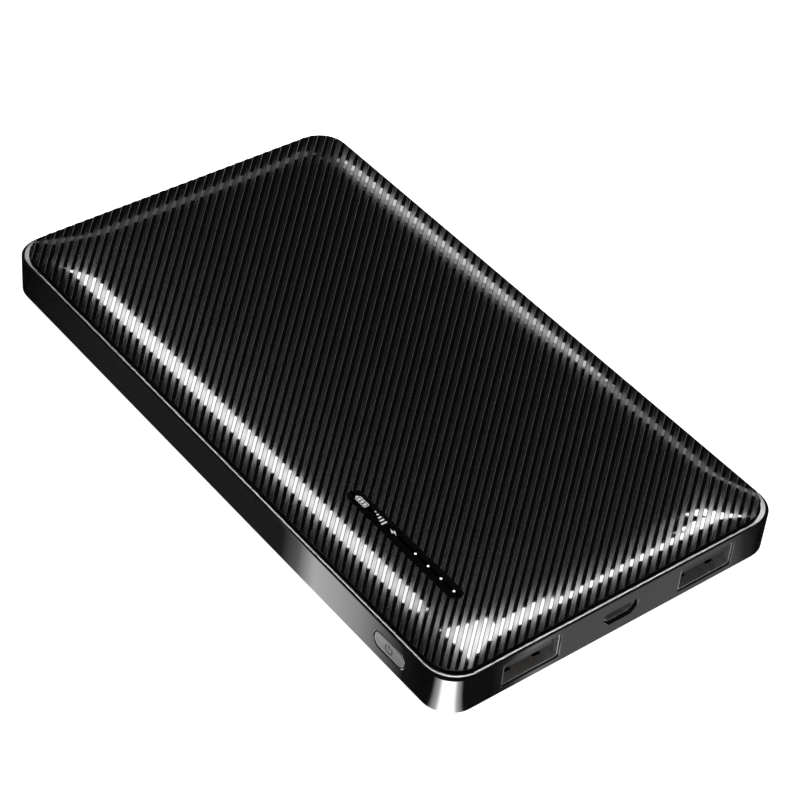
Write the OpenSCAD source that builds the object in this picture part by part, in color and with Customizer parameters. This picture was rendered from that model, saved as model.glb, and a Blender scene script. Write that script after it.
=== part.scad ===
// Slim power bank with two USB-A outlets, one micro-USB inlet and a side button.
// An upright aluminium band is closed by two crowned covers. A pouch cell fills the
// plain end and the board fills the port end, under the charge indicator.
// X is the width, Y the length with the ports at -Y, Z is up. The origin is the middle
// of the footprint, on the surface that the power bank lies on.

/* [Housing] */
// Width across the band
body_w = 80; // [78:0.5:90]
// Length from the port end to the plain end
body_l = 143; // [141:0.5:155]
// Plan radius of the four corners
corner_r = 5.8; // [5:0.1:8]
// Plan radius of the upper cover's corners
rim_r = 6.4; // [6.2:0.1:6.6]
// Height of the band's upright face, between its bevels
band_h = 8.15; // [8:0.05:8.3]
// Width of the bevel along the band's edges
bevel = 0.4; // [0.3:0.05:0.5]
// Width of the bright ledge between the bevel and the cover
ledge_w = 0.55; // [0.4:0.05:0.6]
// Thickness of the band's wall
wall_t = 1.8; // [1.6:0.1:2]
// How far the upright edge of each cover stands above the band
cover_step = 0.85; // [0.8:0.05:0.9]
// How far the upper cover rises from its edge to its flat top
top_crown = 0.65; // [0.6:0.05:0.7]
// How far the lower cover bulges from its edge to its flat middle
base_crown = 1.25; // [1.25:0.05:1.3]
// Width of the curved border of each cover
crown_run = 10; // [9:0.5:10.5]
// Thickness of the upper cover in its middle
top_skin_t = 1.4; // [1.35:0.05:1.45]
// Thickness of the lower cover
base_skin_t = 1.2; // [1.1:0.05:1.3]

/* [Ports] */
// Distance between the middles of the two USB-A outlets
usb_pitch = 42; // [40:0.5:44]
// Sideways place of the row of ports
port_x = 0.5; // [-1:0.1:1]
// Height of the ports' middle above the table
port_z = 6.6; // [6.5:0.1:7]

/* [Button] */
// Length of the button's face
button_l = 8.6; // [7:0.1:9]
// Height of the button's face
button_h = 3.6; // [3.2:0.1:3.8]
// Height of the button's middle above the table
button_z = 6.65; // [6.6:0.05:6.7]
// Gap around the button's face
button_gap = 0.2; // [0.15:0.05:0.25]
// Distance of the button's middle from the port end
button_from_end = 15.9; // [15.5:0.1:16.5]
// How far the button travels
button_travel = 0.3; // [0.2:0.05:0.35]

/* [Indicator] */
// Length of the indicator window
window_l = 32.8; // [30:0.1:34]
// Width of the indicator window
window_w = 3.6; // [3:0.1:4]
// Distance of the window's line from the long side
window_from_side = 14.5; // [14:0.1:15]
// Distance of the window's near end from the port end
window_from_end = 14.6; // [14:0.1:15]
// Distance between two lamps
lamp_pitch = 3.7; // [3.4:0.1:4]

/* [Cell] */
// Width of the pouch cell
cell_w = 70; // [60:1:70]
// Length of the pouch cell, without its terrace
cell_l = 103.5; // [90:0.5:103.5]
// Thickness of the pouch cell
cell_t = 8.3; // [7.5:0.1:8.3]

/* [Hidden] */
$fn = 48;
eps = 0.01;

// Heights of the housing
frame_h = band_h + 2 * bevel;
z_lo = cover_step + base_crown;
z_hi = z_lo + frame_h;
body_h = z_hi + cover_step + top_crown;

// The step in the band that each cover's edge drops into
lip_w = bevel + ledge_w;
fit_gap = 0.05;
rebate_d = 1;
cover_w = body_w - 2 * (lip_w + fit_gap);
cover_l = body_l - 2 * (lip_w + fit_gap);
base_r = corner_r - lip_w - fit_gap;
edge_w = wall_t - lip_w - fit_gap;
edge_h = rebate_d + cover_step;
hollow_w = cover_w - 2 * edge_w;
hollow_l = cover_l - 2 * edge_w;
crown_steps = 4;

// The inside of the band
cavity_x = body_w / 2 - wall_t;
cavity_y = body_l / 2 - wall_t;

// Snap hooks: places along the long sides and the plain end
hook_y = [-36, 4, 44];
hook_back_x = [-22, 22];
hook_l = 5;
hook_t = 1;
hook_drop = 3.4;
hook_bump = 0.35;

// Board
board_top = 5.2;
board_t = 1.2;
board_z = board_top - board_t;
board_x = cavity_x - 1.4;
board_front = -cavity_y + 1.4;
board_back = -42.5;
board_corner = 1.5;
screw_x = board_x - 2;
screw_y = [board_front + 2.6, board_back - 3];
screw_r = 0.7;
screw_head_r = 1.4;
screw_head_t = 0.8;
screw_bottom = 2.1;
boss_r = 1.9;
boss_z = base_skin_t - 0.1;

// Button and its switch, pressed towards +X
button_y = -body_l / 2 + button_from_end;
button_flange = 0.8;
stem_w = 3;
plunger_tip_x = -cavity_x + 3.2;
switch_front_x = plunger_tip_x + 0.7;
switch_d = 2.4;
switch_w = 4.6;
switch_h = 3.2;
plunger_w = 1.6;
plunger_h = 1.4;

// Indicator
window_x = -body_w / 2 + window_from_side;
window_y = -body_l / 2 + window_from_end + window_l / 2;
window_flange = 0.6;
lamp_first_y = -body_l / 2 + 27.7;
lamp_y = [for (i = [0:3]) lamp_first_y - i * lamp_pitch];
guide_r = 0.85;
flange_top = body_h - top_skin_t - fit_gap;
baffle_top = flange_top - window_flange - fit_gap;

// USB-A receptacle, standard sizes
usb_w = 13.1;
usb_h = 5.72;
usb_d = 13;
usb_t = 0.3;
usb_setback = 0.3;
port_gap = 0.1;
usb_front = -body_l / 2 + usb_setback;
usb_tongue_w = 11.1;
usb_tongue_t = 1.84;
usb_tongue_top_gap = 0.72;
usb_tongue_tip = 0.9;
usb_block_d = 2.4;
usb_contact_x = [-3.5, -1, 1, 3.5];
usb_contact_w = 1;
usb_contact_t = 0.22;
usb_x = [port_x - usb_pitch / 2, port_x + usb_pitch / 2];
usb_base = port_z - usb_h / 2;
usb_tongue_z = usb_base + usb_h - usb_t - usb_tongue_top_gap - usb_tongue_t;

// Micro-USB receptacle
micro_w = 7.6;
micro_h = 2.6;
micro_t = 0.25;
micro_d = 5.4;
micro_setback = 0.7;
micro_side_h = 1.35;
micro_foot_w = 5.3;
micro_front = -body_l / 2 + micro_setback;
micro_z = board_top;
micro_tongue_w = 3.9;
micro_tongue_t = 0.6;
micro_tongue_d = 4;
micro_contact_pitch = 0.65;

// Cell
cell_z = base_skin_t + 1;
cell_front = -37;
terrace_w = 62;
terrace_d = 4.5;
terrace_t = 0.8;
tab_x = [6, 22];
tab_w = 5;
tab_t = 0.15;
tape_t = 0.1;

module round_rect(w, l, r) {
    square([w - 2 * r, l], center = true);
    square([w, l - 2 * r], center = true);
    for (sx = [-1, 1], sy = [-1, 1])
        translate([sx * (w / 2 - r), sy * (l / 2 - r)]) circle(r);
}

module plate(w, l, r, z0, z1) {
    translate([0, 0, z0]) linear_extrude(z1 - z0) round_rect(w, l, r);
}

module block(x0, x1, y0, y1, z0, z1) {
    translate([x0, y0, z0]) cube([x1 - x0, y1 - y0, z1 - z0]);
}

// A plate with bevelled upper and lower edges, from z = 0 to h
module bevelled_plate(w, l, r, h, b) {
    for (sx = [-1, 1], sy = [-1, 1])
        translate([sx * (w / 2 - r), sy * (l / 2 - r), 0])
            rotate_extrude() polygon([[0, 0], [r - b, 0], [r, b], [r, h - b], [r - b, h], [0, h]]);
    translate([0, l / 2 - r, 0]) rotate([90, 0, 0]) linear_extrude(l - 2 * r) edge_profile(w, h, b);
    translate([r - w / 2, 0, 0]) rotate([90, 0, 90]) linear_extrude(w - 2 * r) edge_profile(l, h, b);
}

module edge_profile(w, h, b) {
    a = w / 2;
    polygon([[b - a, 0], [a - b, 0], [a, b], [a, h - b], [a - b, h], [b - a, h], [-a, h - b], [-a, b]]);
}

// A flat-sided slot with round ends, along Y, cut through in the X direction
module side_slot(l, h, x0, x1) {
    translate([x0, 0, 0]) rotate([90, 0, 90]) linear_extrude(x1 - x0) {
        square([l - h, h], center = true);
        for (s = [-1, 1]) translate([s * (l - h) / 2, 0]) circle(h / 2);
    }
}

// ---- Housing ----

// Radius of the arc that rises by the given height over the curved border
function arc_radius(rise) = (crown_run * crown_run + rise * rise) / (2 * rise);

// The arc from a cover's edge to its flat middle, as [inset, height] points
function crown_edge(rise) =
    let (radius = arc_radius(rise))
    [for (k = [0:crown_steps])
        let (inset = crown_run * k / crown_steps)
        [inset, rise - radius + sqrt(radius * radius - pow(crown_run - inset, 2))]];

// Cross-section of the crowned form, w wide, with its edge from -edge_h to 0
module crown_arch(w, rise) {
    edge = crown_edge(rise);
    left = [for (p = edge) [p[0] - w / 2, p[1]]];
    right = [for (k = [crown_steps:-1:0]) [w / 2 - edge[k][0], edge[k][1]]];
    polygon(concat([[w / 2, -edge_h], [-w / 2, -edge_h]], left, right));
}

// The crowned form with square corners
module crossed_arches(w, l, rise) {
    intersection() {
        rotate([90, 0, 0]) linear_extrude(l, center = true) crown_arch(w, rise);
        rotate([90, 0, 90]) linear_extrude(w, center = true) crown_arch(l, rise);
    }
}

// The crowned form of a cover. Its edge runs from z = -edge_h to 0, and its flat top is at rise
module pillow(w, l, r, rise) {
    intersection() {
        crossed_arches(w, l, rise);
        translate([0, 0, -edge_h - 1]) linear_extrude(edge_h + rise + 2) {
            square([w - 2 * r, l], center = true);
            square([w, l - 2 * r], center = true);
        }
    }
    edge = crown_edge(rise);
    corner = [for (p = edge) if (p[0] < r) [r - p[0], p[1]]];
    outline = concat([[0, -edge_h], [r, -edge_h]], corner, [[0, lookup(r, edge)]]);
    for (sx = [-1, 1], sy = [-1, 1])
        translate([sx * (w / 2 - r), sy * (l / 2 - r), 0]) rotate_extrude() polygon(outline);
}

// A snap hook that hangs from a cover along the band's inner face, which lies at x = 0
module hook() {
    top = 0.3;
    rotate([90, 0, 0]) linear_extrude(hook_l, center = true)
        polygon([[-0.1 - hook_t, top], [-0.1, top], [-0.1, 0.6 - hook_drop], [hook_bump, 0.4 - hook_drop],
                 [-0.1, -hook_drop], [-0.1 - hook_t, -hook_drop]]);
}

module at_hooks() {
    for (y = hook_y) {
        translate([cavity_x, y, 0]) children();
        translate([-cavity_x, y, 0]) rotate(180) children();
    }
    for (x = hook_back_x) translate([x, cavity_y, 0]) rotate(90) children();
}

// A cover with the band's edge at z = 0, hollowed by the children
module cover_shell(r, rise) {
    difference() {
        translate([0, 0, cover_step]) pillow(cover_w, cover_l, r, rise);
        children();
    }
    at_hooks() hook();
}

module hook_pocket() {
    rotate([90, 0, 0]) linear_extrude(hook_l + 1, center = true)
        translate([-0.1, -0.1 - hook_drop]) square([0.65, 0.9]);
}

module mid_frame() {
    color([0.03, 0.03, 0.035]) difference() {
        translate([0, 0, z_lo]) bevelled_plate(body_w, body_l, corner_r, frame_h, bevel);
        plate(2 * cavity_x, 2 * cavity_y, corner_r - wall_t, z_lo - 1, z_hi + 1);
        plate(body_w - 2 * lip_w, body_l - 2 * lip_w, base_r + fit_gap, z_lo - 1, z_lo + rebate_d);
        plate(body_w - 2 * lip_w, body_l - 2 * lip_w, rim_r + fit_gap, z_hi - rebate_d, z_hi + 1);
        block(usb_x[0] - usb_w / 2 - port_gap, usb_x[1] + usb_w / 2 + port_gap,
              -body_l / 2 - 1, -cavity_y + 1, usb_base - port_gap, usb_base + usb_h + port_gap);
        translate([0, button_y, button_z])
            side_slot(button_l + 2 * button_gap, button_h + 2 * button_gap,
                      -body_w / 2 - 1, -cavity_x + 1);
        translate([0, 0, z_hi]) at_hooks() hook_pocket();
        translate([0, 0, z_lo]) mirror([0, 0, 1]) at_hooks() hook_pocket();
    }
}

// The band's wall between the two USB-A openings, with the micro-USB opening
module port_web() {
    color([0.03, 0.03, 0.035]) difference() {
        block(usb_x[0] + usb_w / 2 + port_gap, usb_x[1] - usb_w / 2 - port_gap,
              -body_l / 2, -cavity_y, usb_base - port_gap, usb_base + usb_h + port_gap);
        micro_prism(0.45, -body_l / 2 - 1, -cavity_y + 1);
    }
}

module top_cover() {
    color([0.02, 0.02, 0.02]) difference() {
        translate([0, 0, z_hi]) cover_shell(rim_r, top_crown)
            plate(hollow_w, hollow_l, rim_r - edge_w, -edge_h - 1, cover_step + top_crown - top_skin_t);
        translate([window_x, window_y, 0])
            plate(window_w + 2 * fit_gap, window_l + 2 * fit_gap, window_w / 2 + fit_gap - eps,
                  z_hi - 1, body_h + 1);
    }
}

module bottom_cover() {
    color([0.02, 0.02, 0.02]) difference() {
        union() {
            translate([0, 0, z_lo]) mirror([0, 0, 1]) cover_shell(base_r, base_crown) intersection() {
                translate([0, 0, cover_step - base_skin_t]) crossed_arches(hollow_w, hollow_l, base_crown);
                plate(hollow_w, hollow_l, base_r - edge_w, -edge_h - 1, cover_step + base_crown);
            }
            for (sx = [-1, 1], y = screw_y)
                translate([sx * screw_x, y, boss_z]) cylinder(r = boss_r, h = board_z - boss_z);
        }
        for (sx = [-1, 1], y = screw_y)
            translate([sx * screw_x, y, screw_bottom - 0.2]) cylinder(r = screw_r + 0.05, h = board_z);
    }
}

// ---- Indicator ----

module indicator_window() {
    color([0.03, 0.03, 0.035, 0.9]) translate([window_x, window_y, 0]) {
        plate(window_w, window_l, window_w / 2 - eps, flange_top, body_h);
        plate(window_w + 2, window_l + 2, window_w / 2 + 1 - eps, flange_top - window_flange, flange_top);
    }
}

module light_baffle() {
    color([0.05, 0.05, 0.05]) difference() {
        block(window_x - 1.8, window_x + 1.8, lamp_y[3] - 1.5, lamp_y[0] + 1.5, board_top, baffle_top);
        for (y = lamp_y) {
            translate([window_x, y, board_top + 0.8]) cylinder(r = guide_r + 0.06, h = baffle_top);
            block(window_x - 0.7, window_x + 0.7, y - 1.1, y + 1.1, board_top - 1, board_top + 1);
        }
    }
}

module light_guides() {
    color([0.85, 0.9, 0.95, 0.5]) for (y = lamp_y)
        translate([window_x, y, board_top + 1.1]) cylinder(r = guide_r, h = baffle_top - board_top - 1.1);
}

module indicator_leds() {
    color([0.95, 0.9, 0.6]) for (y = lamp_y)
        block(window_x - 0.4, window_x + 0.4, y - 0.8, y + 0.8, board_top, board_top + 0.6);
}

// ---- Board ----

module main_board() {
    mid_y = (board_front + board_back) / 2;
    color([0.05, 0.25, 0.12]) difference() {
        translate([0, mid_y, 0])
            plate(2 * board_x, board_back - board_front, board_corner, board_z, board_top);
        for (x = usb_x)
            block(x - usb_w / 2 - 0.15, x + usb_w / 2 + 0.15, board_front - 1, usb_front + usb_d + 0.2,
                  board_z - 1, board_top + 1);
        for (sx = [-1, 1], y = screw_y)
            translate([sx * screw_x, y, board_z - 1]) cylinder(r = screw_r + 0.2, h = board_t + 2);
    }
}

module board_screws() {
    color([0.75, 0.75, 0.78]) for (sx = [-1, 1], y = screw_y)
        translate([sx * screw_x, y, 0]) difference() {
            union() {
                translate([0, 0, board_top]) cylinder(r = screw_head_r, h = screw_head_t);
                translate([0, 0, screw_bottom]) cylinder(r = screw_r, h = board_top - screw_bottom + eps);
            }
            for (a = [0, 90]) rotate(a)
                block(-0.9, 0.9, -0.15, 0.15, board_top + 0.35, board_top + 1);
        }
}

module charge_controller() {
    chip = 5;
    color([0.08, 0.08, 0.08]) {
        block(-chip / 2 - 4, chip / 2 - 4, -56.5, -56.5 + chip, board_top, board_top + 0.9);
        block(7.4, 11.8, -50.5, -46.9, board_top, board_top + 1.1);
    }
}

module power_mosfets() {
    for (x = [-13.5, 29.5]) translate([x, -51, board_top]) {
        color([0.08, 0.08, 0.08]) block(-2.45, 2.45, -1.95, 1.95, 0.1, 1.5);
        color([0.75, 0.75, 0.75]) for (i = [-1.5:1:1.5], s = [-1, 1])
            block(i * 1.27 - 0.2, i * 1.27 + 0.2, min(s * 1.95, s * 3), max(s * 1.95, s * 3), 0, 0.25);
    }
}

module power_inductor() {
    color([0.25, 0.25, 0.27]) translate([5.5, -57, board_top]) difference() {
        plate(7.4, 7, 1, 0, 3);
        difference() {
            translate([0, 0, 0.6]) cylinder(r = 3.1, h = 1.8);
            translate([0, 0, 0.6]) cylinder(r = 1.4, h = 1.8);
        }
    }
}

module inductor_winding() {
    color([0.8, 0.45, 0.2]) translate([5.5, -57, board_top]) difference() {
        translate([0, 0, 0.65]) cylinder(r = 3, h = 1.7);
        translate([0, 0, 0.5]) cylinder(r = 1.5, h = 2);
    }
}

module ceramic_capacitors() {
    color([0.7, 0.55, 0.35]) {
        for (i = [0:3]) block(-12 + 3 * i, -10.4 + 3 * i, -64, -60.8, board_top, board_top + 1.2);
        for (i = [0:2]) block(-19.6 + 2.4 * i, -18.4 + 2.4 * i, -56.6, -54.6, board_top, board_top + 0.9);
        for (i = [0:2]) block(19 + 2.4 * i, 20.2 + 2.4 * i, -56.6, -54.6, board_top, board_top + 0.9);
    }
}

module polymer_capacitors() {
    color([0.7, 0.7, 0.72]) for (x = [-8.5, 14.5])
        translate([x, -49.2, board_top]) {
            block(-2.1, 2.1, -2.1, 2.1, 0, 0.4);
            translate([0, 0, 0.4]) cylinder(r = 2, h = 4);
        }
}

module chip_resistors() {
    color([0.15, 0.15, 0.16]) {
        for (i = [0:4]) block(-6.6 + 1.9 * i, -5.4 + 1.9 * i, -46.6, -44.6, board_top, board_top + 0.5);
        for (i = [0:2]) block(29 + 1.9 * i, 30.2 + 1.9 * i, -60, -58, board_top, board_top + 0.5);
        block(-22.5, -19.3, -48.4, -46.8, board_top, board_top + 0.6);
    }
}

module thermistor() {
    color([0.1, 0.1, 0.1]) {
        translate([-12, -40, board_top + 0.9]) rotate([90, 0, 0]) cylinder(r = 0.25, h = 4.6);
        translate([-10.6, -40, board_top + 0.9]) rotate([90, 0, 0]) cylinder(r = 0.25, h = 4.6);
        block(-12.4, -10.2, -40, cell_front - 0.15, board_top + 0.55, board_top + 1.4);
        block(-12.5, -10.1, -46.4, -44.6, board_top, board_top + 1.4);
    }
}

// ---- Button and switch ----

module power_button() {
    color([0.28, 0.28, 0.29]) translate([0, button_y, button_z]) {
        side_slot(button_l, button_h, -body_w / 2, -cavity_x + 0.1);
        side_slot(button_l + 2, button_h + 1.4, -cavity_x + 0.1, -cavity_x + 0.1 + button_flange);
        block(-cavity_x + 0.1 + button_flange, plunger_tip_x, -stem_w / 2, stem_w / 2, -0.8, 0.9);
    }
}

module switch_body() {
    front = switch_front_x;
    slack = 0.1;
    color([0.1, 0.1, 0.1]) difference() {
        block(front, front + switch_d, button_y - switch_w / 2, button_y + switch_w / 2,
              board_top, board_top + switch_h);
        block(front - 1, front + 1.1, button_y - plunger_w / 2 - slack, button_y + plunger_w / 2 + slack,
              button_z - plunger_h / 2 - slack, button_z + plunger_h / 2 + slack);
    }
}

module switch_plunger() {
    color([0.85, 0.85, 0.82])
        block(plunger_tip_x, switch_front_x + 1.1 - button_travel - 0.1,
              button_y - plunger_w / 2, button_y + plunger_w / 2,
              button_z - plunger_h / 2, button_z + plunger_h / 2);
}

// ---- USB-A receptacle. Its middle is at x = 0, its mouth at y = 0, its underside at z = 0 ----

usb_window = [1.7, 4.4];
usb_window_x = 3.4;
usb_window_y = 1.9;

module usb_place(side) {
    translate([usb_x[side], usb_front, usb_base]) children();
}

module usb_ring(w, h, r, d) {
    translate([0, d, h / 2]) rotate([90, 0, 0]) linear_extrude(d) round_rect(w, h, r);
}

// A retention finger: a thin strip that leans into the mouth from the window's rear edge
module usb_finger() {
    rotate([-7, 0, 0]) translate([-usb_window[0] / 2 + 0.25, -usb_window[1] + 0.5, 0])
        cube([usb_window[0] - 0.5, usb_window[1] - 0.4, 0.2]);
}

module usb_shell() {
    color([0.72, 0.72, 0.74]) {
        difference() {
            usb_ring(usb_w, usb_h, 0.6, usb_d);
            translate([0, -1, usb_t]) usb_ring(usb_w - 2 * usb_t, usb_h - 2 * usb_t, 0.35, usb_d + 2);
            for (sx = [-1, 1])
                translate([sx * usb_window_x - usb_window[0] / 2, usb_window_y, -1])
                    cube([usb_window[0], usb_window[1], usb_t + 2]);
        }
        for (sx = [-1, 1]) {
            translate([sx * usb_window_x, usb_window_y + usb_window[1], 0.05]) usb_finger();
            block(min(sx * (usb_w / 2 - 0.05), sx * (usb_w / 2 + 1.3)),
                  max(sx * (usb_w / 2 - 0.05), sx * (usb_w / 2 + 1.3)), 5, 8,
                  board_top - usb_base, board_top - usb_base + usb_t);
        }
    }
}

module usb_contact_shapes() {
    z = usb_tongue_z - usb_base;
    for (x = usb_contact_x) {
        block(x - usb_contact_w / 2, x + usb_contact_w / 2, usb_tongue_tip + 0.9, usb_d + 0.55,
              z - usb_contact_t, z);
        block(x - 0.3, x + 0.3, usb_d + 0.3, usb_d + 0.55, board_top - usb_base, z);
        block(x - 0.3, x + 0.3, usb_d + 0.3, usb_d + 1.3, board_top - usb_base, board_top - usb_base + 0.25);
    }
}

module usb_tongue() {
    z = usb_tongue_z - usb_base;
    inner_w = usb_w - 2 * usb_t - 0.1;
    color([0.05, 0.05, 0.05]) difference() {
        union() {
            block(-usb_tongue_w / 2, usb_tongue_w / 2, usb_tongue_tip, usb_d - usb_block_d + eps,
                  z, z + usb_tongue_t);
            block(-inner_w / 2, inner_w / 2, usb_d - usb_block_d, usb_d, usb_t + 0.35, usb_h - usb_t - 0.35);
        }
        usb_contact_shapes();
    }
}

module usb_contacts() {
    color([0.85, 0.7, 0.3]) usb_contact_shapes();
}

module usb_a_shell_left() { usb_place(0) usb_shell(); }
module usb_a_tongue_left() { usb_place(0) usb_tongue(); }
module usb_a_contacts_left() { usb_place(0) usb_contacts(); }
module usb_a_shell_right() { usb_place(1) usb_shell(); }
module usb_a_tongue_right() { usb_place(1) usb_tongue(); }
module usb_a_contacts_right() { usb_place(1) usb_contacts(); }

// ---- Micro-USB receptacle ----

// Outline seen from the front, standing on y = 0 and grown by g on every side
module micro_outline(g) {
    a = micro_w / 2 + g;
    f = micro_foot_w / 2 + g * 0.6;
    polygon([[-f, -g], [f, -g], [a, micro_h - micro_side_h], [a, micro_h + g],
             [-a, micro_h + g], [-a, micro_h - micro_side_h]]);
}

module micro_prism(g, y0, y1) {
    translate([port_x, y1, micro_z]) rotate([90, 0, 0]) linear_extrude(y1 - y0) micro_outline(g);
}

module micro_usb_shell() {
    color([0.72, 0.72, 0.74]) difference() {
        micro_prism(0, micro_front, micro_front + micro_d);
        micro_prism(-micro_t, micro_front - 1, micro_front + micro_d - micro_t);
    }
}

module micro_contact_shapes() {
    z = micro_z + micro_h - micro_t - 0.5 - micro_tongue_t;
    for (i = [-2:2])
        block(port_x + i * micro_contact_pitch - 0.15, port_x + i * micro_contact_pitch + 0.15,
              micro_front + 1.1, micro_front + micro_d - micro_t - 0.9, z - 0.1, z);
}

module micro_usb_tongue() {
    z = micro_z + micro_h - micro_t - 0.5 - micro_tongue_t;
    back = micro_front + micro_d - micro_t;
    color([0.05, 0.05, 0.05]) difference() {
        union() {
            block(port_x - micro_tongue_w / 2, port_x + micro_tongue_w / 2, back - 0.8 - micro_tongue_d,
                  back - 0.8 + eps, z, z + micro_tongue_t);
            micro_prism(-micro_t - 0.05, back - 0.8, back - 0.05);
        }
        micro_contact_shapes();
    }
}

module micro_usb_contacts() {
    color([0.85, 0.7, 0.3]) micro_contact_shapes();
}

// ---- Cell ----

module battery_cell() {
    mid_y = cell_front + cell_l / 2;
    color([0.75, 0.76, 0.78]) {
        translate([0, mid_y, cell_z]) bevelled_plate(cell_w, cell_l, 3, cell_t, 0.8);
        difference() {
            block(-terrace_w / 2, terrace_w / 2, cell_front - terrace_d, cell_front + eps,
                  board_top - terrace_t / 2 + 0.1, board_top + terrace_t / 2 + 0.1);
            tab_shapes(0.02);
        }
    }
}

module tab_shapes(g) {
    for (x = tab_x)
        block(x - tab_w / 2 - g, x + tab_w / 2 + g, board_back - 3.4, cell_front - 1.5 + g,
              board_top - g, board_top + tab_t + g);
}

module cell_tabs() {
    color([0.8, 0.78, 0.7]) tab_shapes(0);
}

// Insulating tape over the upper side of the terrace
module terrace_tape() {
    color([0.75, 0.5, 0.12])
        block(-terrace_w / 2 + 24, terrace_w / 2 - 2, cell_front - terrace_d, cell_front - 0.2,
              board_top + terrace_t / 2 + 0.1, board_top + terrace_t / 2 + 0.1 + tape_t);
}

// Two foam pads that hold the cell off the lower cover
module foam_pads() {
    color([0.2, 0.2, 0.22]) for (y = [cell_front + 22, cell_front + cell_l - 22])
        block(-26, 26, y - 14, y + 14, base_skin_t, cell_z);
}

mid_frame();
port_web();
top_cover();
bottom_cover();
indicator_window();
light_baffle();
light_guides();
indicator_leds();
main_board();
board_screws();
power_button();
switch_body();
switch_plunger();
usb_a_shell_left();
usb_a_tongue_left();
usb_a_contacts_left();
usb_a_shell_right();
usb_a_tongue_right();
usb_a_contacts_right();
micro_usb_shell();
micro_usb_tongue();
micro_usb_contacts();
power_inductor();
inductor_winding();
charge_controller();
power_mosfets();
ceramic_capacitors();
polymer_capacitors();
chip_resistors();
battery_cell();
cell_tabs();
terrace_tape();
foam_pads();
thermistor();
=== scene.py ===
"""Looks of the power bank: ribbed upper cover, polished band, ports, button and indicator.

Lengths are in metres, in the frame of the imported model: +Z up, the ports at -Y, the button at -X.
"""

import math

import bmesh
import bpy
from mathutils import Matrix, Vector


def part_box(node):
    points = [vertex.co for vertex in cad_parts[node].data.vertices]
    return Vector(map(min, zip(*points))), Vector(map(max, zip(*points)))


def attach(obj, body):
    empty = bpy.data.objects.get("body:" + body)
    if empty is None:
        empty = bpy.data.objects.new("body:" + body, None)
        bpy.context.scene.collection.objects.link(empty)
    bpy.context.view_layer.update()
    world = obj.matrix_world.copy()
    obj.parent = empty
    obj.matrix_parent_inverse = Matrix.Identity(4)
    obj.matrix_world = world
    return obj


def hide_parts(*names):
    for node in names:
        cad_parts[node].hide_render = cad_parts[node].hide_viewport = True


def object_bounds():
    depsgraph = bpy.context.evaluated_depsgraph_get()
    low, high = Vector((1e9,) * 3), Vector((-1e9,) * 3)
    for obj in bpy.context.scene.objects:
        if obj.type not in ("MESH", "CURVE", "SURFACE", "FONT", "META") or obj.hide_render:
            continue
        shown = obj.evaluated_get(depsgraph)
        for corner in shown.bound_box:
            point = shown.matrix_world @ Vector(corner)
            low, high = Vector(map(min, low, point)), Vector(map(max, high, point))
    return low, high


MM = 0.001
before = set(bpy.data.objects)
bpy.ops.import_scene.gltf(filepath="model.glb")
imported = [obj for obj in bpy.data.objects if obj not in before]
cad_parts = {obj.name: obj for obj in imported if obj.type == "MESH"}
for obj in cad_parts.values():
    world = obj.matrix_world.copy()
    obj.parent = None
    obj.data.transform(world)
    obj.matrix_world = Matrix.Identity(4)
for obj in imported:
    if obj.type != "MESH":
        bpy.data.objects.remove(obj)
cad_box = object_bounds()

# ---- Sizes. The boxes come from the frame, and the rest repeats the model's own values ----

# Band: its outside, its rounded shoulder down from a narrow ledge, and its wall
BAND_LO, BAND_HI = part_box("mid_frame")
HALF_W, HALF_L = BAND_HI.x, BAND_HI.y
RIM_LO, RIM_HI = BAND_LO.z, BAND_HI.z
CORNER_R = 5.8 * MM
RIM_R = 6.45 * MM
BEVEL = 0.4 * MM
LEDGE_START, LEDGE_DROP = 0.35 * MM, 0.05 * MM
LIP = 0.95 * MM
WALL = 1.8 * MM
REBATE = 1.0 * MM

# Covers: each stands proud of the band by the step, and its crown rises over the run in from its edge
COVER_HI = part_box("top_cover")[1]
COVER_HALF_W, COVER_HALF_L = COVER_HI.x, COVER_HI.y
COVER_R = 6.4 * MM
COVER_STEP = 0.85 * MM
SKIRT = 0.9 * MM
CROWN_RUN = 10 * MM
CORNER_SPREAD = 0.5

TOP_Z = COVER_HI.z
TOP_EDGE_Z = RIM_HI + COVER_STEP
TOP_RISE = TOP_Z - TOP_EDGE_Z
TOP_SKIN = 1.4 * MM
BASE_EDGE_Z = RIM_LO - COVER_STEP
BASE_RISE = BASE_EDGE_Z - cad_box[0][2]
BASE_SKIN = 1.2 * MM

# Ribs: gloss lands between satin grooves, fanning out from a far pivot
RIB_ANGLE = math.radians(43.2)
RIB_PIVOT = 730 * MM
RIB_PHASE = 0.38 * MM
RIB_PITCH = 1.62 * MM
RIB_LAND = 0.62 * MM
RIB_WALL = 0.11 * MM
RIB_DEPTH = 0.1 * MM
RIB_TOP_GAP = 0.05 * MM

# Button and window
BUTTON_LO, BUTTON_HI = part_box("power_button")
BUTTON_MID = (BUTTON_LO + BUTTON_HI) / 2
BUTTON_HALF_L = 4.3 * MM
BUTTON_HALF_H = 1.8 * MM
BUTTON_GAP = 0.2 * MM
WINDOW_LO, WINDOW_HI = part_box("indicator_window")
WINDOW_MID = (WINDOW_LO + WINDOW_HI) / 2
WINDOW_HALF_W = 1.65 * MM
WINDOW_HALF_L = WINDOW_HI.y - WINDOW_MID.y - 1.2 * MM
WINDOW_Z = TOP_Z - 0.02 * MM

# Mesh fineness
ARC_STEPS = 24
SHOULDER_STEPS = 12
CROWN_STEPS = 16
GUARD = 0.3 * MM

EAST = Vector((1, 0, 0))
NORTH = Vector((0, 1, 0))


# ---- Materials ----


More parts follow.
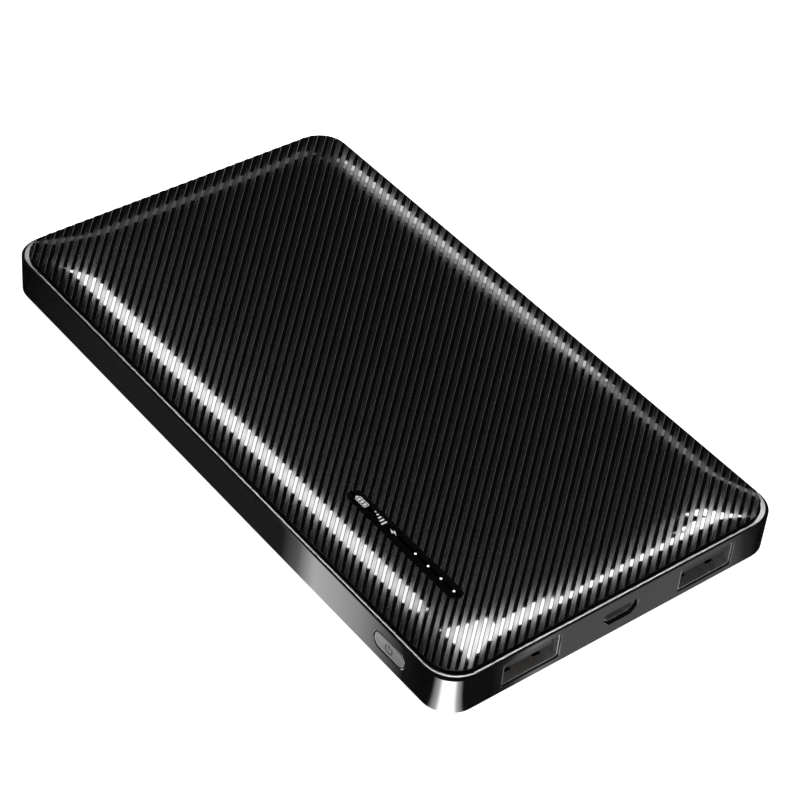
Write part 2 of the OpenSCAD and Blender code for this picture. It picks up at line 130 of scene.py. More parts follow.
class Finish:
    """A Principled material whose colour, roughness and relief vary with noise at a real scale."""

    def __init__(self, name, color, roughness, metallic=0.0):
        self.material = bpy.data.materials.new(name)
        self.material.use_nodes = True
        self.tree = self.material.node_tree
        self.shader = self.tree.nodes["Principled BSDF"]
        self.color = color
        self.roughness = roughness
        self.shader.inputs["Metallic"].default_value = metallic
        self.shader.inputs["IOR"].default_value = 1.5
        self.place = self.tree.nodes.new("ShaderNodeTexCoord").outputs["Object"]

    def noise(self, size):
        """Noise whose blotches are about size across."""
        texture = self.tree.nodes.new("ShaderNodeTexNoise")
        texture.inputs["Scale"].default_value = 1 / size
        texture.inputs["Detail"].default_value = 3
        self.tree.links.new(self.place, texture.inputs["Vector"])
        return texture.outputs["Fac"]

    def mottle(self, size, amount):
        """Colour that drifts by the given share, up and down."""
        mix = self.tree.nodes.new("ShaderNodeMix")
        mix.data_type = "RGBA"
        mix.inputs["A"].default_value = [c * (1 - amount) for c in self.color] + [1]
        mix.inputs["B"].default_value = [min(1, c * (1 + amount)) for c in self.color] + [1]
        self.tree.links.new(self.noise(size), mix.inputs["Factor"])
        self.tree.links.new(mix.outputs["Result"], self.shader.inputs["Base Color"])
        return self

    def polish(self, size, amount):
        """Roughness that drifts by the given amount, up and down."""
        span = self.tree.nodes.new("ShaderNodeMapRange")
        span.inputs["To Min"].default_value = max(0, self.roughness - amount)
        span.inputs["To Max"].default_value = self.roughness + amount
        self.tree.links.new(self.noise(size), span.inputs["Value"])
        self.tree.links.new(span.outputs["Result"], self.shader.inputs["Roughness"])
        return self

    def relief(self, size, height):
        """Fine surface relief of the given height."""
        bump = self.tree.nodes.new("ShaderNodeBump")
        bump.inputs["Distance"].default_value = height
        self.tree.links.new(self.noise(size), bump.inputs["Height"])
        self.tree.links.new(bump.outputs["Normal"], self.shader.inputs["Normal"])
        return self


def plastic(name, grey, roughness, grain=0.3 * MM, height=0.004 * MM):
    """Moulded plastic with a fine grain. Grey is a shade, or a colour."""
    color = grey if isinstance(grey, tuple) else (grey, grey, grey * 1.04)
    finish = Finish(name, color, roughness)
    return finish.mottle(3 * grain, 0.15).polish(grain, 0.05).relief(grain, height).material


def metal(name, color, roughness):
    finish = Finish(name, color, roughness, metallic=1.0)
    return finish.mottle(1.5 * MM, 0.08).polish(0.2 * MM, 0.06).relief(0.15 * MM, 0.001 * MM).material


def polished_plastic(name, grey, roughness):
    return Finish(name, (grey, grey, grey), roughness).mottle(6 * MM, 0.2).polish(4 * MM, 0.01).material


def polished_metal(name, grey, roughness):
    finish = Finish(name, (grey, grey, grey * 1.02), roughness, metallic=1.0)
    return finish.mottle(6 * MM, 0.05).polish(4 * MM, 0.02).material


RIB_GLOSS = polished_plastic("rib_gloss", 0.0015, 0.03)
RIB_SATIN = polished_plastic("rib_satin", 0.002, 0.125)
# Painted highlight: each wall that steps down from a gloss land into its groove gets a light grey. The grey
# stands in for the thin bright line that this wall catches from the lights. It is not the plastic's own
# colour.
RIB_WALL_PAINTED_HIGHLIGHT = polished_plastic("rib_wall_painted_highlight", 0.09, 0.4)
COVER_EDGE = plastic("cover_edge", 0.003, 0.3)
BASE_SATIN = plastic("base_satin", 0.012, 0.42, grain=0.4 * MM, height=0.002 * MM)
BAND_FACE = polished_plastic("band_face", 0.004, 0.05)
BAND_EDGE = polished_metal("band_edge", 0.33, 0.32)
WINDOW_FACE = polished_plastic("window_face", 0.002, 0.03)
WINDOW_PRINT = plastic("window_print", 0.7, 0.5, grain=0.2 * MM)
BUTTON_FACE = plastic("button_face", 0.2, 0.34, grain=0.15 * MM)
BUTTON_MARK = plastic("button_mark", 0.02, 0.5, grain=0.2 * MM)

NODE_FINISHES = {
    "light_baffle": plastic("baffle_black", 0.03, 0.7),
    "light_guides": plastic("guide_clear", 0.75, 0.2),
    "indicator_leds": plastic("lamp_lens", (0.85, 0.8, 0.5), 0.3),
    "main_board": plastic("board_mask", (0.01, 0.09, 0.04), 0.35, grain=0.8 * MM),
    "board_screws": metal("screw_zinc", (0.7, 0.7, 0.72), 0.3),
    "switch_body": plastic("switch_black", 0.02, 0.5),
    "switch_plunger": plastic("plunger_ivory", (0.7, 0.68, 0.6), 0.45),
    "power_inductor": plastic("ferrite_grey", 0.07, 0.6, grain=0.15 * MM),
    "inductor_winding": metal("winding_copper", (0.72, 0.36, 0.18), 0.3),
    "charge_controller": plastic("chip_black", 0.02, 0.55, grain=0.1 * MM),
    "power_mosfets": plastic("transistor_black", 0.025, 0.55, grain=0.1 * MM),
    "ceramic_capacitors": plastic("ceramic_tan", (0.42, 0.29, 0.16), 0.45),
    "polymer_capacitors": metal("can_metal", (0.75, 0.75, 0.77), 0.28),
    "chip_resistors": plastic("resistor_black", 0.02, 0.4, grain=0.1 * MM),
    "battery_cell": metal("pouch_foil", (0.6, 0.61, 0.63), 0.38),
    "cell_tabs": metal("tab_nickel", (0.68, 0.66, 0.6), 0.3),
    "terrace_tape": plastic("tape_amber", (0.6, 0.3, 0.04), 0.25),
    "foam_pads": plastic("foam_grey", 0.05, 0.9, grain=0.5 * MM, height=0.1 * MM),
    "thermistor": plastic("sensor_black", 0.02, 0.4),
}
PORT_STEEL = (Finish("port_steel", (0.6, 0.6, 0.61), 0.24, metallic=0.85)
              .mottle(2 * MM, 0.1).polish(1 * MM, 0.04).material)
PORT_TONGUE = plastic("port_tongue", 0.008, 0.4)
PORT_CONTACT = metal("port_contact", (0.83, 0.62, 0.25), 0.25)
for port in ("usb_a_%s_left", "usb_a_%s_right", "micro_usb_%s"):
    NODE_FINISHES[port % "shell"] = PORT_STEEL
    NODE_FINISHES[port % "tongue"] = PORT_TONGUE
    NODE_FINISHES[port % "contacts"] = PORT_CONTACT

for node_name, material in NODE_FINISHES.items():
    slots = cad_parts[node_name].data.materials
    slots.clear()
    slots.append(material)


# ---- Outlines and lofts ----


def outline(half_w, half_l, radius):
    """Rounded rectangle, anticlockwise, with a guard point on the flats beside each corner."""
    points = []
    for quarter, (sx, sy) in enumerate(((1, 1), (-1, 1), (-1, -1), (1, -1))):
        centre = Vector((sx * (half_w - radius), sy * (half_l - radius)))
        for step in range(-1, ARC_STEPS + 2):
            turn = min(max(step, 0), ARC_STEPS) / ARC_STEPS
            angle = (quarter + turn) * math.pi / 2
            outward = Vector((math.cos(angle), math.sin(angle)))
            guard = GUARD * (min(step, 0) + max(step - ARC_STEPS, 0))
            points.append(centre + radius * outward + guard * Vector((-outward.y, outward.x)))
    return points


def rounded(corners, radius, steps=6):
    """A convex polygon, anticlockwise, with its corners rounded."""
    points = []
    for i, corner in enumerate(corners):
        corner = Vector(corner)
        back = (Vector(corners[i - 1]) - corner).normalized()
        on = (Vector(corners[(i + 1) % len(corners)]) - corner).normalized()
        half = back.angle(on) / 2
        centre = corner + (back + on).normalized() * radius / math.sin(half)
        start = corner + back * radius / math.tan(half) - centre
        sweep = math.pi - 2 * half
        for step in range(steps + 1):
            points.append(centre + Matrix.Rotation(sweep * step / steps, 2) @ start)
    return points


def grown(points, amount):
    """A convex outline moved outwards by amount."""
    result = []
    for i, point in enumerate(points):
        into = (point - points[i - 1]).normalized()
        out = (points[(i + 1) % len(points)] - point).normalized()
        normal = Vector((into.y, -into.x)) + Vector((out.y, -out.x))
        result.append(point + normal * amount / (normal.length_squared / 2))
    return result


def new_object(name, bm, materials, smooth=True):
    """Turns the bmesh into a linked object, and frees it."""
    bmesh.ops.recalc_face_normals(bm, faces=bm.faces)
    mesh = bpy.data.meshes.new(name)
    for face in bm.faces:
        face.smooth = smooth
    bm.to_mesh(mesh)
    bm.free()
    for material in materials:
        mesh.materials.append(material)
    piece = bpy.data.objects.new(name, mesh)
    bpy.context.collection.objects.link(piece)
    return piece


def sharpen(bm, degrees=25):
    """Marks every edge that bends by more than the given angle as sharp."""
    for edge in bm.edges:
        edge.smooth = len(edge.link_faces) == 2 and edge.calc_face_angle(0) < math.radians(degrees)


def loft(bm, rings, closed=False):
    """Skins rings of 3-D points. The last ring joins the first if closed, and else both ends are capped."""
    rows = [[bm.verts.new(point) for point in ring] for ring in rings]
    pairs = list(zip(rows, rows[1:])) + ([(rows[-1], rows[0])] if closed else [])
    for low, high in pairs:
        for i in range(len(low)):
            j = (i + 1) % len(low)
            bm.faces.new((low[i], low[j], high[j], high[i]))
    if not closed:
        bm.faces.new(reversed(rows[0]))
        bm.faces.new(rows[-1])
    return rows


def at_height(points, z):
    return [Vector((p.x, p.y, z)) for p in points]


def on_wall(points, origin, across, inward, depth):
    """Outline points (u, v) stood up on a wall: u runs along across, v up, at a depth along inward."""
    return [origin + across * p.x + Vector((0, 0, p.y)) + inward * depth for p in points]


# ---- Band ----


def flared_cutter(bm, points, origin, across, inward, flare):
    """An opening through the band that widens at 45 degrees to the outer face."""
    reach = 0.5 * MM
    stations = ((-reach, flare + reach), (flare, 0), (WALL + reach, 0))
    loft(bm, [on_wall(grown(points, g), origin, across, inward, depth) for depth, g in stations])


def box_corners(low, high):
    return [(low[0], low[1]), (high[0], low[1]), (high[0], high[1]), (low[0], high[1])]


def pill(half_length, half_height):
    corners = box_corners((-half_length, -half_height), (half_length, half_height))
    return rounded(corners, half_height * 0.999, steps=16)


def carve(piece, cutters):
    """Takes the cutters' volume out of the piece's mesh."""
    tool = new_object("cutter", cutters, [], smooth=False)
    cut = piece.modifiers.new("cut", "BOOLEAN")
    cut.operation = "DIFFERENCE"
    cut.solver = "EXACT"
    cut.object = tool
    graph = bpy.context.evaluated_depsgraph_get()
    mesh = bpy.data.meshes.new_from_object(piece.evaluated_get(graph))
    piece.modifiers.clear()
    piece.data = mesh
    bm = bmesh.new()
    bm.from_mesh(mesh)
    sharpen(bm, 20)
    bm.to_mesh(mesh)
    bm.free()
    bpy.data.objects.remove(tool)


def band_rings():
    """Sections of the band from inside its upper rebate, over the outer face, to inside its lower one."""
    edge = [(0, BEVEL + GUARD, CORNER_R)]
    for step in range(SHOULDER_STEPS + 1):
        share = step / SHOULDER_STEPS
        turn = step * math.pi / (2 * SHOULDER_STEPS + 2)
        inset = LEDGE_START * (1 - math.cos(turn))
        drop = BEVEL - (BEVEL - LEDGE_DROP) * math.sin(turn)
        edge.append((inset, drop, CORNER_R + (RIM_R - CORNER_R) * share))
    edge += [(LIP, 0, RIM_R), (LIP, REBATE, RIM_R), (WALL, REBATE, CORNER_R - WALL)]
    upper = [(inset, RIM_HI - drop, radius) for inset, drop, radius in edge]
    lower = [(inset, RIM_LO + drop, radius) for inset, drop, radius in reversed(edge)]
    return [at_height(outline(HALF_W - inset, HALF_L - inset, radius), z)
            for inset, z, radius in upper + lower]


def opening_cutters():
    """The two USB-A openings, the micro-USB opening and the button's slot."""
    cutters = bmesh.new()
    front = Vector((0, -HALF_L, 0))
    gap = 0.1 * MM
    for node in ("usb_a_shell_left", "usb_a_shell_right"):
        low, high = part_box(node)
        half = 6.55 * MM + gap
        middle = (low.x + high.x) / 2
        corners = box_corners((middle - half, low.z - gap), (middle + half, high.z + gap))
        flared_cutter(cutters, rounded(corners, 0.5 * MM), front, EAST, NORTH, 0.07 * MM)

    low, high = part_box("micro_usb_shell")
    middle = (low.x + high.x) / 2
    half, foot, knee = high.x - middle, 2.65 * MM, 1.25 * MM
    corners = [(middle - foot, low.z), (middle + foot, low.z), (middle + half, low.z + knee),
               (middle + half, high.z), (middle - half, high.z), (middle - half, low.z + knee)]
    mouth = grown(rounded(corners, 0.3 * MM), 0.25 * MM)
    flared_cutter(cutters, mouth, front, EAST, NORTH, 0.1 * MM)

    slot = pill(BUTTON_HALF_L + BUTTON_GAP, BUTTON_HALF_H + BUTTON_GAP)
    seat = Vector((-HALF_W, BUTTON_MID.y, BUTTON_MID.z))
    flared_cutter(cutters, slot, seat, -NORTH, EAST, 0.12 * MM)
    return cutters


def is_bright(face):
    """True for the band's two ledges and for the flares round its openings."""
    centre, normal = face.center, face.normal
    from_rim = min(centre.z - RIM_LO, RIM_HI - centre.z)
    if abs(normal.z) > 0.9 and from_rim < 0.8 * LEDGE_DROP:
        return True
    inset_x, inset_y = HALF_W - abs(centre.x), HALF_L - abs(centre.y)
    at_corner = inset_x < CORNER_R and inset_y < CORNER_R
    slanted = abs(normal.z) < 0.72 and 0.5 < max(abs(normal.x), abs(normal.y)) < 0.72
    return slanted and 0.01 * MM < min(inset_x, inset_y) < 0.2 * MM and not at_corner


def make_band():
    bm = bmesh.new()
    loft(bm, band_rings(), closed=True)
    sharpen(bm)
    band = new_object("band", bm, [BAND_FACE, BAND_EDGE])
    carve(band, opening_cutters())
    for face in band.data.polygons:
        face.material_index = int(is_bright(face))
    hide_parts("mid_frame", "port_web")
    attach(band, "housing")


# ---- Covers ----


def inset_of(x, y):
    """Distance inwards from a cover's edge, along rounded rectangles whose radius grows inwards."""
    over_x = abs(x) - COVER_HALF_W + COVER_R
    over_y = abs(y) - COVER_HALF_L + COVER_R
    beyond = over_x * over_x + over_y * over_y - COVER_R**2
    if over_x > 0 and over_y > 0 and beyond > 0:
        return COVER_R - math.hypot(over_x, over_y)
    rate = 1 + CORNER_SPREAD
    a = 2 * rate * rate - CORNER_SPREAD**2
    b = 2 * rate * (over_x + over_y) - 2 * COVER_R * CORNER_SPREAD
    root = b * b - 4 * a * beyond
    if root > 0:
        depth = (-b + math.sqrt(root)) / (2 * a)
        if min(over_x, over_y) + rate * depth > 0:
            return depth
    return COVER_R - max(over_x, over_y)


def rise_at(depth, rise=TOP_RISE):
    """Height above the cover's edge, on an arc that levels off at the crown's run."""
    arc = (CROWN_RUN**2 + rise**2) / (2 * rise)
    left = max(0, CROWN_RUN - max(0, depth))
    return rise - arc + math.sqrt(arc**2 - left**2)


def rib_direction(place):
    """The ribs fan out from a pivot. Place is how far from the middle rib a line passes the middle."""
    angle = RIB_ANGLE + place / RIB_PIVOT
    return Vector((math.cos(angle), math.sin(angle)))


PIVOT = -RIB_PIVOT * rib_direction(0)


def rib_lines():
    """(place, is it recessed, does a face's edge lie on it) for each line across the ribs."""
    groove, wall_2 = RIB_LAND + RIB_WALL, RIB_PITCH - RIB_WALL
    steps = [
        (0, False, True), (RIB_LAND / 2, False, False), (RIB_LAND, False, True), (groove, True, True),
        ((2 * groove + wall_2) / 3, True, False), ((groove + 2 * wall_2) / 3, True, False),
        (wall_2, True, True),
    ]
    border = outline(COVER_HALF_W, COVER_HALF_L, COVER_R)
    turns = [rib_direction(0).angle_signed(point - PIVOT) for point in border]
    first, last = -RIB_PIVOT * max(turns), -RIB_PIVOT * min(turns)
    lines = []
    for period in range(int(first / RIB_PITCH) - 2, int(last / RIB_PITCH) + 3):
        for offset, low, edge in steps:
            place = RIB_PHASE + period * RIB_PITCH + offset
            if first + 0.03 * MM < place < last - 0.03 * MM:
                lines.append((place, low, edge))
    return lines


def chord(start, along):
    """Where a line through start crosses the cover's edge, both ways, as distances along it."""
    limits = []
    for side in (-1, 1):
        spans = [(side * math.copysign(half, d) - s) / d
                 for s, d, half in ((start.x, along.x, COVER_HALF_W), (start.y, along.y, COVER_HALF_L))]
        limits.append(min(spans) if side > 0 else max(spans))
    middle = sum(limits) / 2
    ends = []
    for limit in limits:
        inside, outside = middle, limit
        for _ in range(40):
            probe = (inside + outside) / 2
            point = start + along * probe
            if inset_of(point.x, point.y) > 0:
                inside = probe
            else:
                outside = probe
        ends.append(inside)
    return ends


def spread(count, length):
    """Places from 0 to 1, close together over the curved borders at both ends."""
    share = 0.4
    border = min(share, 15 * MM / length)
    places = []
    for i in range(count):
        u = i / (count - 1)
        if u < share:
            places.append(u / share * border)
        elif u > 1 - share:
            places.append(1 - (1 - u) / share * border)
        else:
            places.append(border + (u - share) / (1 - 2 * share) * (1 - 2 * border))
    return places


def make_ribbed_cover():
    """A closed shell in rows along the ribs: the ribbed outside, a plain inside, and the edge between."""
    gloss, satin, plain, painted_highlight_wall = range(4)
    lines = rib_lines()
    verts, faces, slots, sharp_lines = [], [], [], set()
    outer_count, inner_count = 41, 9
    outer_rows, inner_rows = [], []

    def add(point, z):
        verts.append((point.x, point.y, z))
        return len(verts) - 1

    for number, (place, low, edge) in enumerate(lines):
        along = rib_direction(place)
        start = PIVOT + RIB_PIVOT * along
        near, far = chord(start, along)
        drop = RIB_TOP_GAP + (RIB_DEPTH if low else 0)
        outer, inner = [], []
        for u in spread(outer_count, far - near):
            point = start + along * (near + u * (far - near))
            outer.append(add(point, TOP_EDGE_Z - drop + rise_at(inset_of(point.x, point.y))))
        for u in spread(inner_count, far - near):
            point = start + along * (near + u * (far - near))
            inner.append(add(point, min(TOP_Z - TOP_SKIN, RIM_HI - SKIRT + inset_of(point.x, point.y))))
        outer_rows.append(outer)
        inner_rows.append(inner)
        if edge:
            sharp_lines.add(number)

    def skin(rows, flip, slot_of):
        for number, (row, following) in enumerate(zip(rows, rows[1:])):
            for i in range(len(row) - 1):
                quad = (row[i], row[i + 1], following[i + 1], following[i])
                faces.append(tuple(reversed(quad)) if flip else quad)
                slots.append(slot_of(number))

    def outer_slot(number):
        low, next_low = lines[number][1], lines[number + 1][1]
        if low and next_low:
            return satin
        # A wall stepping down from a land into its groove takes the painted-highlight grey. The wall back up
        # stays gloss black.
        return painted_highlight_wall if next_low else gloss

    skin(outer_rows, False, outer_slot)
    skin(inner_rows, True, lambda number: plain)
    for side in (0, -1):
        for number in range(len(lines) - 1):
            quad = (outer_rows[number][side], outer_rows[number + 1][side],
                    inner_rows[number + 1][side], inner_rows[number][side])
            faces.append(quad if side == 0 else tuple(reversed(quad)))
            slots.append(plain)
    for end, flip in ((0, True), (-1, False)):
        loop = outer_rows[end] + inner_rows[end][::-1]
        faces.append(tuple(reversed(loop)) if flip else tuple(loop))
        slots.append(plain)

    mesh = bpy.data.meshes.new("ribbed_cover")
    mesh.from_pydata(verts, [], faces)
    mesh.polygons.foreach_set("material_index", slots)
    mesh.polygons.foreach_set("use_smooth", [True] * len(faces))
    line_of = {}
    for number, row in enumerate(outer_rows):
        line_of.update((vertex, number) for vertex in row)
    rim = {row[side] for row in outer_rows for side in (0, -1)}
    for edge in mesh.edges:
        a, b = edge.vertices
        same = line_of.get(a, -1) == line_of.get(b, -2)
        edge.use_edge_sharp = (same and line_of[a] in sharp_lines) or (a in rim and b in rim)
    for material in (RIB_GLOSS, RIB_SATIN, COVER_EDGE, RIB_WALL_PAINTED_HIGHLIGHT):
        mesh.materials.append(material)
    mesh.update()
    cover = bpy.data.objects.new("ribbed_cover", mesh)
    bpy.context.collection.objects.link(cover)
    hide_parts("top_cover")
    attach(cover, "housing")


def make_base_cover():
    depths = [CROWN_RUN * (k / CROWN_STEPS) for k in range(CROWN_STEPS + 1)]

    def ring(depth, z):
        radius = COVER_R + CORNER_SPREAD * depth
        return at_height(outline(COVER_HALF_W - depth, COVER_HALF_L - depth, radius), z)

    outer = [ring(depth, BASE_EDGE_Z - rise_at(depth, BASE_RISE)) for depth in reversed(depths)]
    skirt = [ring(0, RIM_LO + SKIRT)]
    inner = [ring(depth, BASE_EDGE_Z + BASE_SKIN - rise_at(depth, BASE_RISE)) for depth in depths[2:]]
    bm = bmesh.new()
    loft(bm, outer + skirt + inner)
    sharpen(bm, 30)
    cover = new_object("base_cover", bm, [BASE_SATIN])
    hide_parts("bottom_cover")
    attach(cover, "housing")


# ---- Indicator window ----


def make_window():
    edge = 0.1 * MM
    bm = bmesh.new()
    rings = []
    for inset, z in ((0, TOP_Z - TOP_SKIN), (0, WINDOW_Z - edge), (edge, WINDOW_Z)):
        half_w = WINDOW_HALF_W - inset
        points = outline(half_w, WINDOW_HALF_L - inset, half_w * 0.98)
        rings.append(at_height([p + WINDOW_MID.xy for p in points], z))
    loft(bm, rings)
    sharpen(bm)
    window = new_object("window", bm, [WINDOW_FACE])
    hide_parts("indicator_window")
    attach(window, "housing")


def add_plate(bm, points, z_low, z_high):
    loft(bm, [at_height(points, z_low), at_height(points, z_high)])


def add_frame(bm, outer, inner, z_low, z_high):
    corners = ((outer, z_low), (outer, z_high), (inner, z_high), (inner, z_low))
    loft(bm, [at_height(points, z) for points, z in corners], closed=True)


def make_window_marks():
    """A battery, rising bars and a bolt, printed in line between the window's far end and its lamps."""
    low, high = WINDOW_Z - 0.02 * MM, TOP_Z
    half = 0.62 * MM
    line = 0.14 * MM
    bm = bmesh.new()

    def shift(points, y):
        return [Vector((p[0] + WINDOW_MID.x, p[1] + y)) for p in points]

    def add_bar(x_low, x_high, y_low, y_high, y):
        add_plate(bm, shift(box_corners((x_low, y_low), (x_high, y_high)), y), low, high)

    case_half = 1.5 * MM
    battery = WINDOW_MID.y + WINDOW_HALF_L - 3.6 * MM
    case = rounded(box_corners((-half, -case_half), (half, case_half)), 0.25 * MM)
    hollow = rounded(box_corners((line - half, line - case_half), (half - line, case_half - line)), 0.12 * MM)
    add_frame(bm, shift(case, battery), shift(hollow, battery), low, high)
    add_bar(-0.25 * MM, 0.25 * MM, case_half, case_half + 0.3 * MM, battery)
    for k in range(3):
        add_bar(-0.36 * MM, 0.36 * MM, -0.3 * MM, 0.3 * MM, battery + (k - 1) * 0.85 * MM)
    bars = battery - 3.4 * MM
    for k in range(5):
        length = half * 2 * (k + 1) / 5
        add_bar(half - length, half, -0.2 * MM, 0.2 * MM, bars - k * 0.8 * MM)
    bolt = bars - 6.0 * MM
    flash = [(0.1, 1.1), (-0.5, -0.15), (-0.05, -0.15), (-0.12, -1.1), (0.5, 0.2), (0.05, 0.2)]
    add_plate(bm, shift([(x * MM, y * MM) for x, y in flash], bolt), low, high)
    marks = new_object("window_marks", bm, [WINDOW_PRINT], smooth=False)
    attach(marks, "housing")


def make_lamp_dots():
    """Four lit dots, where the lamps shine through the window."""
    glow = Finish("lamp_glow", (0.9, 0.92, 0.95), 0.4)
    glow.mottle(0.3 * MM, 0.05).polish(0.2 * MM, 0.05)
    glow.shader.inputs["Emission Color"].default_value = (0.95, 0.97, 1, 1)
    glow.shader.inputs["Emission Strength"].default_value = 0.9
    low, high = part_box("indicator_leds")
    lamp_half, radius, lamps, sides = 0.8 * MM, 0.23 * MM, 4, 24
    first, last = low.y + lamp_half, high.y - lamp_half
    bm = bmesh.new()
    for k in range(lamps):
        y = first + (last - first) * k / (lamps - 1)
        circle = [Vector((WINDOW_MID.x + radius * math.cos(a), y + radius * math.sin(a)))
                  for a in (math.tau * step / sides for step in range(sides))]
        add_plate(bm, circle, WINDOW_Z - 0.05 * MM, TOP_Z - 0.005 * MM)
    dots = new_object("lamp_dots", bm, [glow.material], smooth=False)
    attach(dots, "housing")


# ---- Button ----


def on_button(points, depth):
    """Outline points stood up on the button's face, at a depth inwards from its foremost point."""
    seat = Vector((BUTTON_LO.x, BUTTON_MID.y, BUTTON_MID.z))
    return on_wall(points, seat, -NORTH, EAST, depth)


def make_button():
    """A rounded face, a flange behind the band's wall, and a stem to the switch."""
    shape = pill(BUTTON_HALF_L, BUTTON_HALF_H)
    flange = grown(shape, 0.65 * MM)
    flange_in, flange_out, stem_end = 2.0 * MM, 2.7 * MM, BUTTON_HI.x - BUTTON_LO.x
    rounding = [(0.02, -0.55), (0.0, -0.3), (0.03, -0.15), (0.1, -0.05), (0.22, 0)]
    rings = [on_button(grown(shape, growth * MM), depth * MM) for depth, growth in rounding]
    rings += [on_button(shape, flange_in), on_button(flange, flange_in), on_button(flange, flange_out)]
    bm = bmesh.new()
    loft(bm, rings)
    stem = [Vector(c) for c in box_corners((-1.5 * MM, -0.8 * MM), (1.5 * MM, 0.9 * MM))]
    loft(bm, [on_button(stem, flange_out), on_button(stem, stem_end)])
    sharpen(bm, 40)
    button = new_object("button", bm, [BUTTON_FACE])
    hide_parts("power_button")
    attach(button, "button")


def make_power_mark():
    """A broken ring and a bar, let into the button's face."""
    ring_r, line, bar_top = 0.92 * MM, 0.16 * MM, 1.2 * MM
    face, sunk = 0.005 * MM, 0.08 * MM
    gap, steps = math.radians(38), 28
    bm = bmesh.new()
    sections = []
    for step in range(steps + 1):
        angle = math.pi / 2 + gap + (math.tau - 2 * gap) * step / steps
        spoke = Vector((math.cos(angle), math.sin(angle)))
        edge_pair = [spoke * (ring_r - line), spoke * (ring_r + line)]
        sections.append(on_button(edge_pair, face) + on_button(edge_pair[::-1], sunk))
    loft(bm, sections)
    bar = [Vector(c) for c in box_corners((-line, 0.05 * MM), (line, bar_top))]
    loft(bm, [on_button(bar, face), on_button(bar, sunk)])
    mark = new_object("power_mark", bm, [BUTTON_MARK], smooth=False)
    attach(mark, "button")


make_band()
make_ribbed_cover()
make_base_cover()
make_window()
make_window_marks()
make_lamp_dots()
make_button()
make_power_mark()

# ---- Floor, lights and camera ----


def make_floor():
    """A white floor, and a white wall far round it that only the camera sees."""
    half, wall_r, wall_h = 4.5, 4.4, 4
    paint = Finish("floor_paper", (0.92, 0.92, 0.92), 0.9)
    paint.mottle(40 * MM, 0.01)
    paint.shader.inputs["Emission Color"].default_value = (1, 1, 1, 1)
    paint.shader.inputs["Emission Strength"].default_value = 1
    bm = bmesh.new()
    bmesh.ops.create_grid(bm, x_segments=8, y_segments=8, size=half)
    floor = new_object("floor", bm, [paint.material])
    floor.location.z = -0.05 * MM
    floor.visible_glossy = False
    bm = bmesh.new()
    bmesh.ops.create_cone(bm, cap_ends=False, segments=64, radius1=wall_r, radius2=wall_r, depth=wall_h)
    wall = new_object("backdrop", bm, [paint.material])
    wall.visible_glossy = wall.visible_diffuse = wall.visible_transmission = wall.visible_shadow = False


def reflection_card(name, origin, low, high, along, stops):
    """A glow just above the floor that only reflections see.

    Low and high are its corners from the origin. Stops are (place, radiance), with the place measured
    by the vector along, or in turns round the origin when along is None.
    """
    peak = max(radiance for _, radiance in stops)
    start, end = stops[0][0], stops[-1][0]
    material = bpy.data.materials.new(name)
    material.use_nodes = True
    tree = material.node_tree
    tree.nodes.clear()
    position = tree.nodes.new("ShaderNodeTexCoord").outputs["Object"]
    if along:
        measure = tree.nodes.new("ShaderNodeVectorMath")
        measure.operation = "DOT_PRODUCT"
        measure.inputs[1].default_value = along
        place = measure.outputs["Value"]
    else:
        measure = tree.nodes.new("ShaderNodeTexGradient")
        measure.gradient_type = "RADIAL"
        place = measure.outputs["Fac"]
    span = tree.nodes.new("ShaderNodeMapRange")
    span.inputs["From Min"].default_value = start
    span.inputs["From Max"].default_value = end
    ramp = tree.nodes.new("ShaderNodeValToRGB")
    elements = ramp.color_ramp.elements
    while len(elements) < len(stops):
        elements.new(0.5)
    for element, (stop, radiance) in zip(elements, stops):
        element.position = (stop - start) / (end - start)
        element.color = [radiance / peak] * 3 + [1]
    glow = tree.nodes.new("ShaderNodeEmission")
    glow.inputs["Strength"].default_value = peak
    surface = tree.nodes.new("ShaderNodeOutputMaterial")
    tree.links.new(position, measure.inputs[0])
    tree.links.new(place, span.inputs["Value"])
    tree.links.new(span.outputs["Result"], ramp.inputs["Fac"])
    tree.links.new(ramp.outputs["Color"], glow.inputs["Color"])
    tree.links.new(glow.outputs["Emission"], surface.inputs["Surface"])
    bm = bmesh.new()
    bm.faces.new([bm.verts.new((x, y, 0)) for x, y in box_corners(low, high)])
    card = new_object(name, bm, [material], smooth=False)
    card.location = origin
    card.visible_camera = card.visible_diffuse = card.visible_shadow = False


def softbox(name, place, size, radiance, aim=None, glossy=True):
    """An area light of the given radiance, where white is 1. It looks at aim, or else straight down."""
    data = bpy.data.lights.new(name, "AREA")
    data.shape = "RECTANGLE"
    data.size, data.size_y = size
    data.energy = radiance * math.pi * size[0] * size[1]
    lamp = bpy.data.objects.new(name, data)
    lamp.location = place
    if aim:
        lamp.rotation_euler = (Vector(aim) - Vector(place)).to_track_quat("-Z", "Y").to_euler()
    lamp.visible_glossy = glossy
    bpy.context.collection.objects.link(lamp)


def overhead(name, low, high, radiance, height=1.0):
    """A level softbox that spans low to high in plan."""
    middle = ((low[0] + high[0]) / 2, (low[1] + high[1]) / 2, height)
    softbox(name, middle, (high[0] - low[0], high[1] - low[1]), radiance)


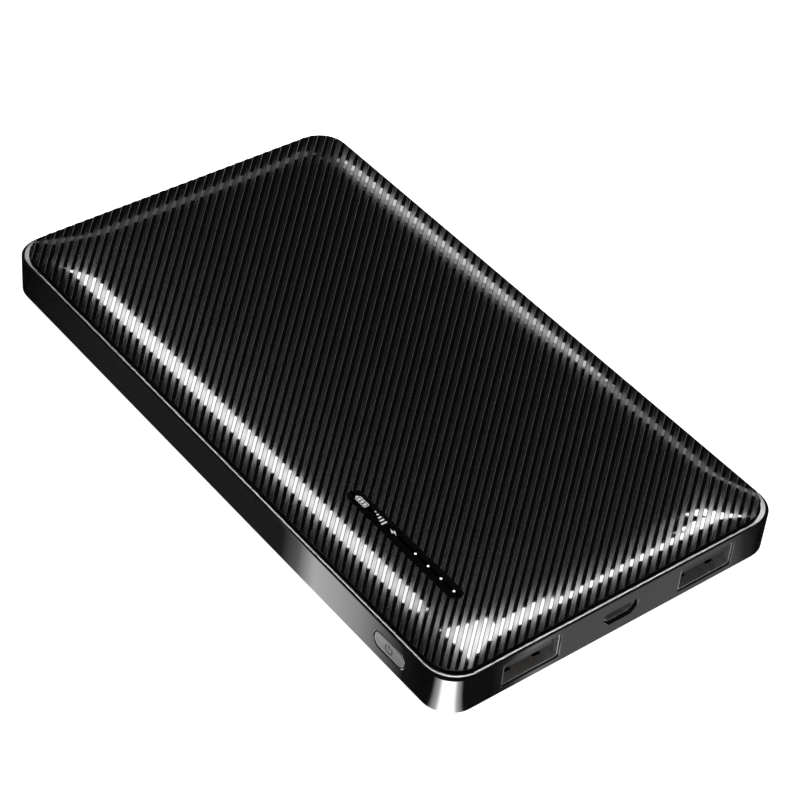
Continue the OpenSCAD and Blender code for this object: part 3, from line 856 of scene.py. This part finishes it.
def make_lights():
    """The upper cover's borders reflect the overhead boxes. The two fills show in no reflection."""
    overhead("left_strip", (0.42, 0.59), (0.53, 1.05), 20)
    overhead("front_strip", (0.49, 0.357), (0.87, 0.395), 24)
    overhead("front_left_wing", (0.49, 0.395), (0.605, 0.53), 24)
    overhead("front_left_step", (0.605, 0.395), (0.65, 0.45), 24)
    overhead("front_right_step", (0.77, 0.395), (0.82, 0.43), 28)
    overhead("front_right_wing", (0.82, 0.395), (0.87, 0.53), 28)
    overhead("right_box_bright", (1.16, 0.9), (1.27, 1.3), 8)
    overhead("right_box_middle", (1.08, 0.9), (1.16, 1.3), 3)
    overhead("right_box_dim", (1.02, 0.9), (1.08, 1.3), 0.5)
    overhead("right_box_rear", (1.14, 0.5), (1.24, 0.9), 2.5)
    overhead("far_box", (0.6, 1.34), (1.06, 1.48), 1)
    softbox("horizon", (0.3, 3, 0), (3, 0.8), 1.2, aim=(0.3, 0, 0))
    softbox("fill", (0.5, 0.4, 1.8), (1.6, 1.6), 1.6, aim=(0, 0, 0.01), glossy=False)
    softbox("front_fill", (-0.3, -1.2, 0.7), (0.9, 0.9), 4, aim=(0, 0, 0.01), glossy=False)

    world = bpy.data.worlds.new("studio")
    world.use_nodes = True
    background = world.node_tree.nodes["Background"]
    background.inputs["Color"].default_value = (1, 1, 1, 1)
    background.inputs["Strength"].default_value = 0.02
    bpy.context.scene.world = world


def make_cards():
    """The glows that the band's polished walls and its nearest corner reflect."""
    width, lift, clear = 24 * MM, 0.2 * MM, 0.2 * MM
    left = [(-64, 0.005), (-60, 0.05), (-54, 0.9), (-47, 2.2), (-40, 3), (-33, 3.5), (-28, 0.8),
            (-23, 0.08), (40, 0.07), (60, 0.03), (67, 0.005)]
    reflection_card("left_card", (-HALF_W, 0, lift), (-width, CORNER_R - HALF_L), (-clear, HALF_L + width),
                    (1.127, 1, 0), [(y * MM, radiance) for y, radiance in left])
    front = [(-29, 0.005), (-25, 0.15), (-19, 1.3), (-12, 0.62), (29, 0.6), (33, 0.15), (37, 0.005)]
    reflection_card("front_card", (0, -HALF_L, lift), (CORNER_R - HALF_W, -width), (HALF_W + width, -clear),
                    (1, 0.888, 0), [(x * MM, radiance) for x, radiance in front])
    corner = [(0, 0), (0.01, 0.3), (0.06, 6), (0.1, 26), (0.16, 26), (0.2, 6), (0.24, 0.3), (0.25, 0)]
    reflection_card("corner_card", (CORNER_R - HALF_W, CORNER_R - HALF_L, 2 * lift),
                    (-1.3 * width, -1.3 * width), (0, 0), None, corner)


def make_camera():
    """Azimuth is from -Y towards +X. The camera looks at about the foot of the band's wall."""
    azimuth, elevation, roll = (math.radians(a) for a in (-41.609, 41.386, 6.02))
    back = Vector((math.sin(azimuth) * math.cos(elevation), -math.cos(azimuth) * math.cos(elevation),
                   math.sin(elevation)))
    level = Vector((math.cos(azimuth), math.sin(azimuth), 0))
    steep = back.cross(level)
    right = math.cos(roll) * level + math.sin(roll) * steep
    up = math.cos(roll) * steep - math.sin(roll) * level
    place = 0.48449 * back + 0.004545 * right + 0.001293 * up + Vector((0, 0, RIM_LO + BEVEL))
    data = bpy.data.cameras.new("camera")
    data.lens = 110.73
    data.sensor_width = 36
    camera = bpy.data.objects.new("camera", data)
    camera.matrix_world = Matrix.Translation(place) @ Matrix((right, up, back)).transposed().to_4x4()
    bpy.context.collection.objects.link(camera)
    bpy.context.scene.camera = camera


make_floor()
make_lights()
make_cards()
make_camera()
bpy.context.scene.view_settings.view_transform = "Standard"
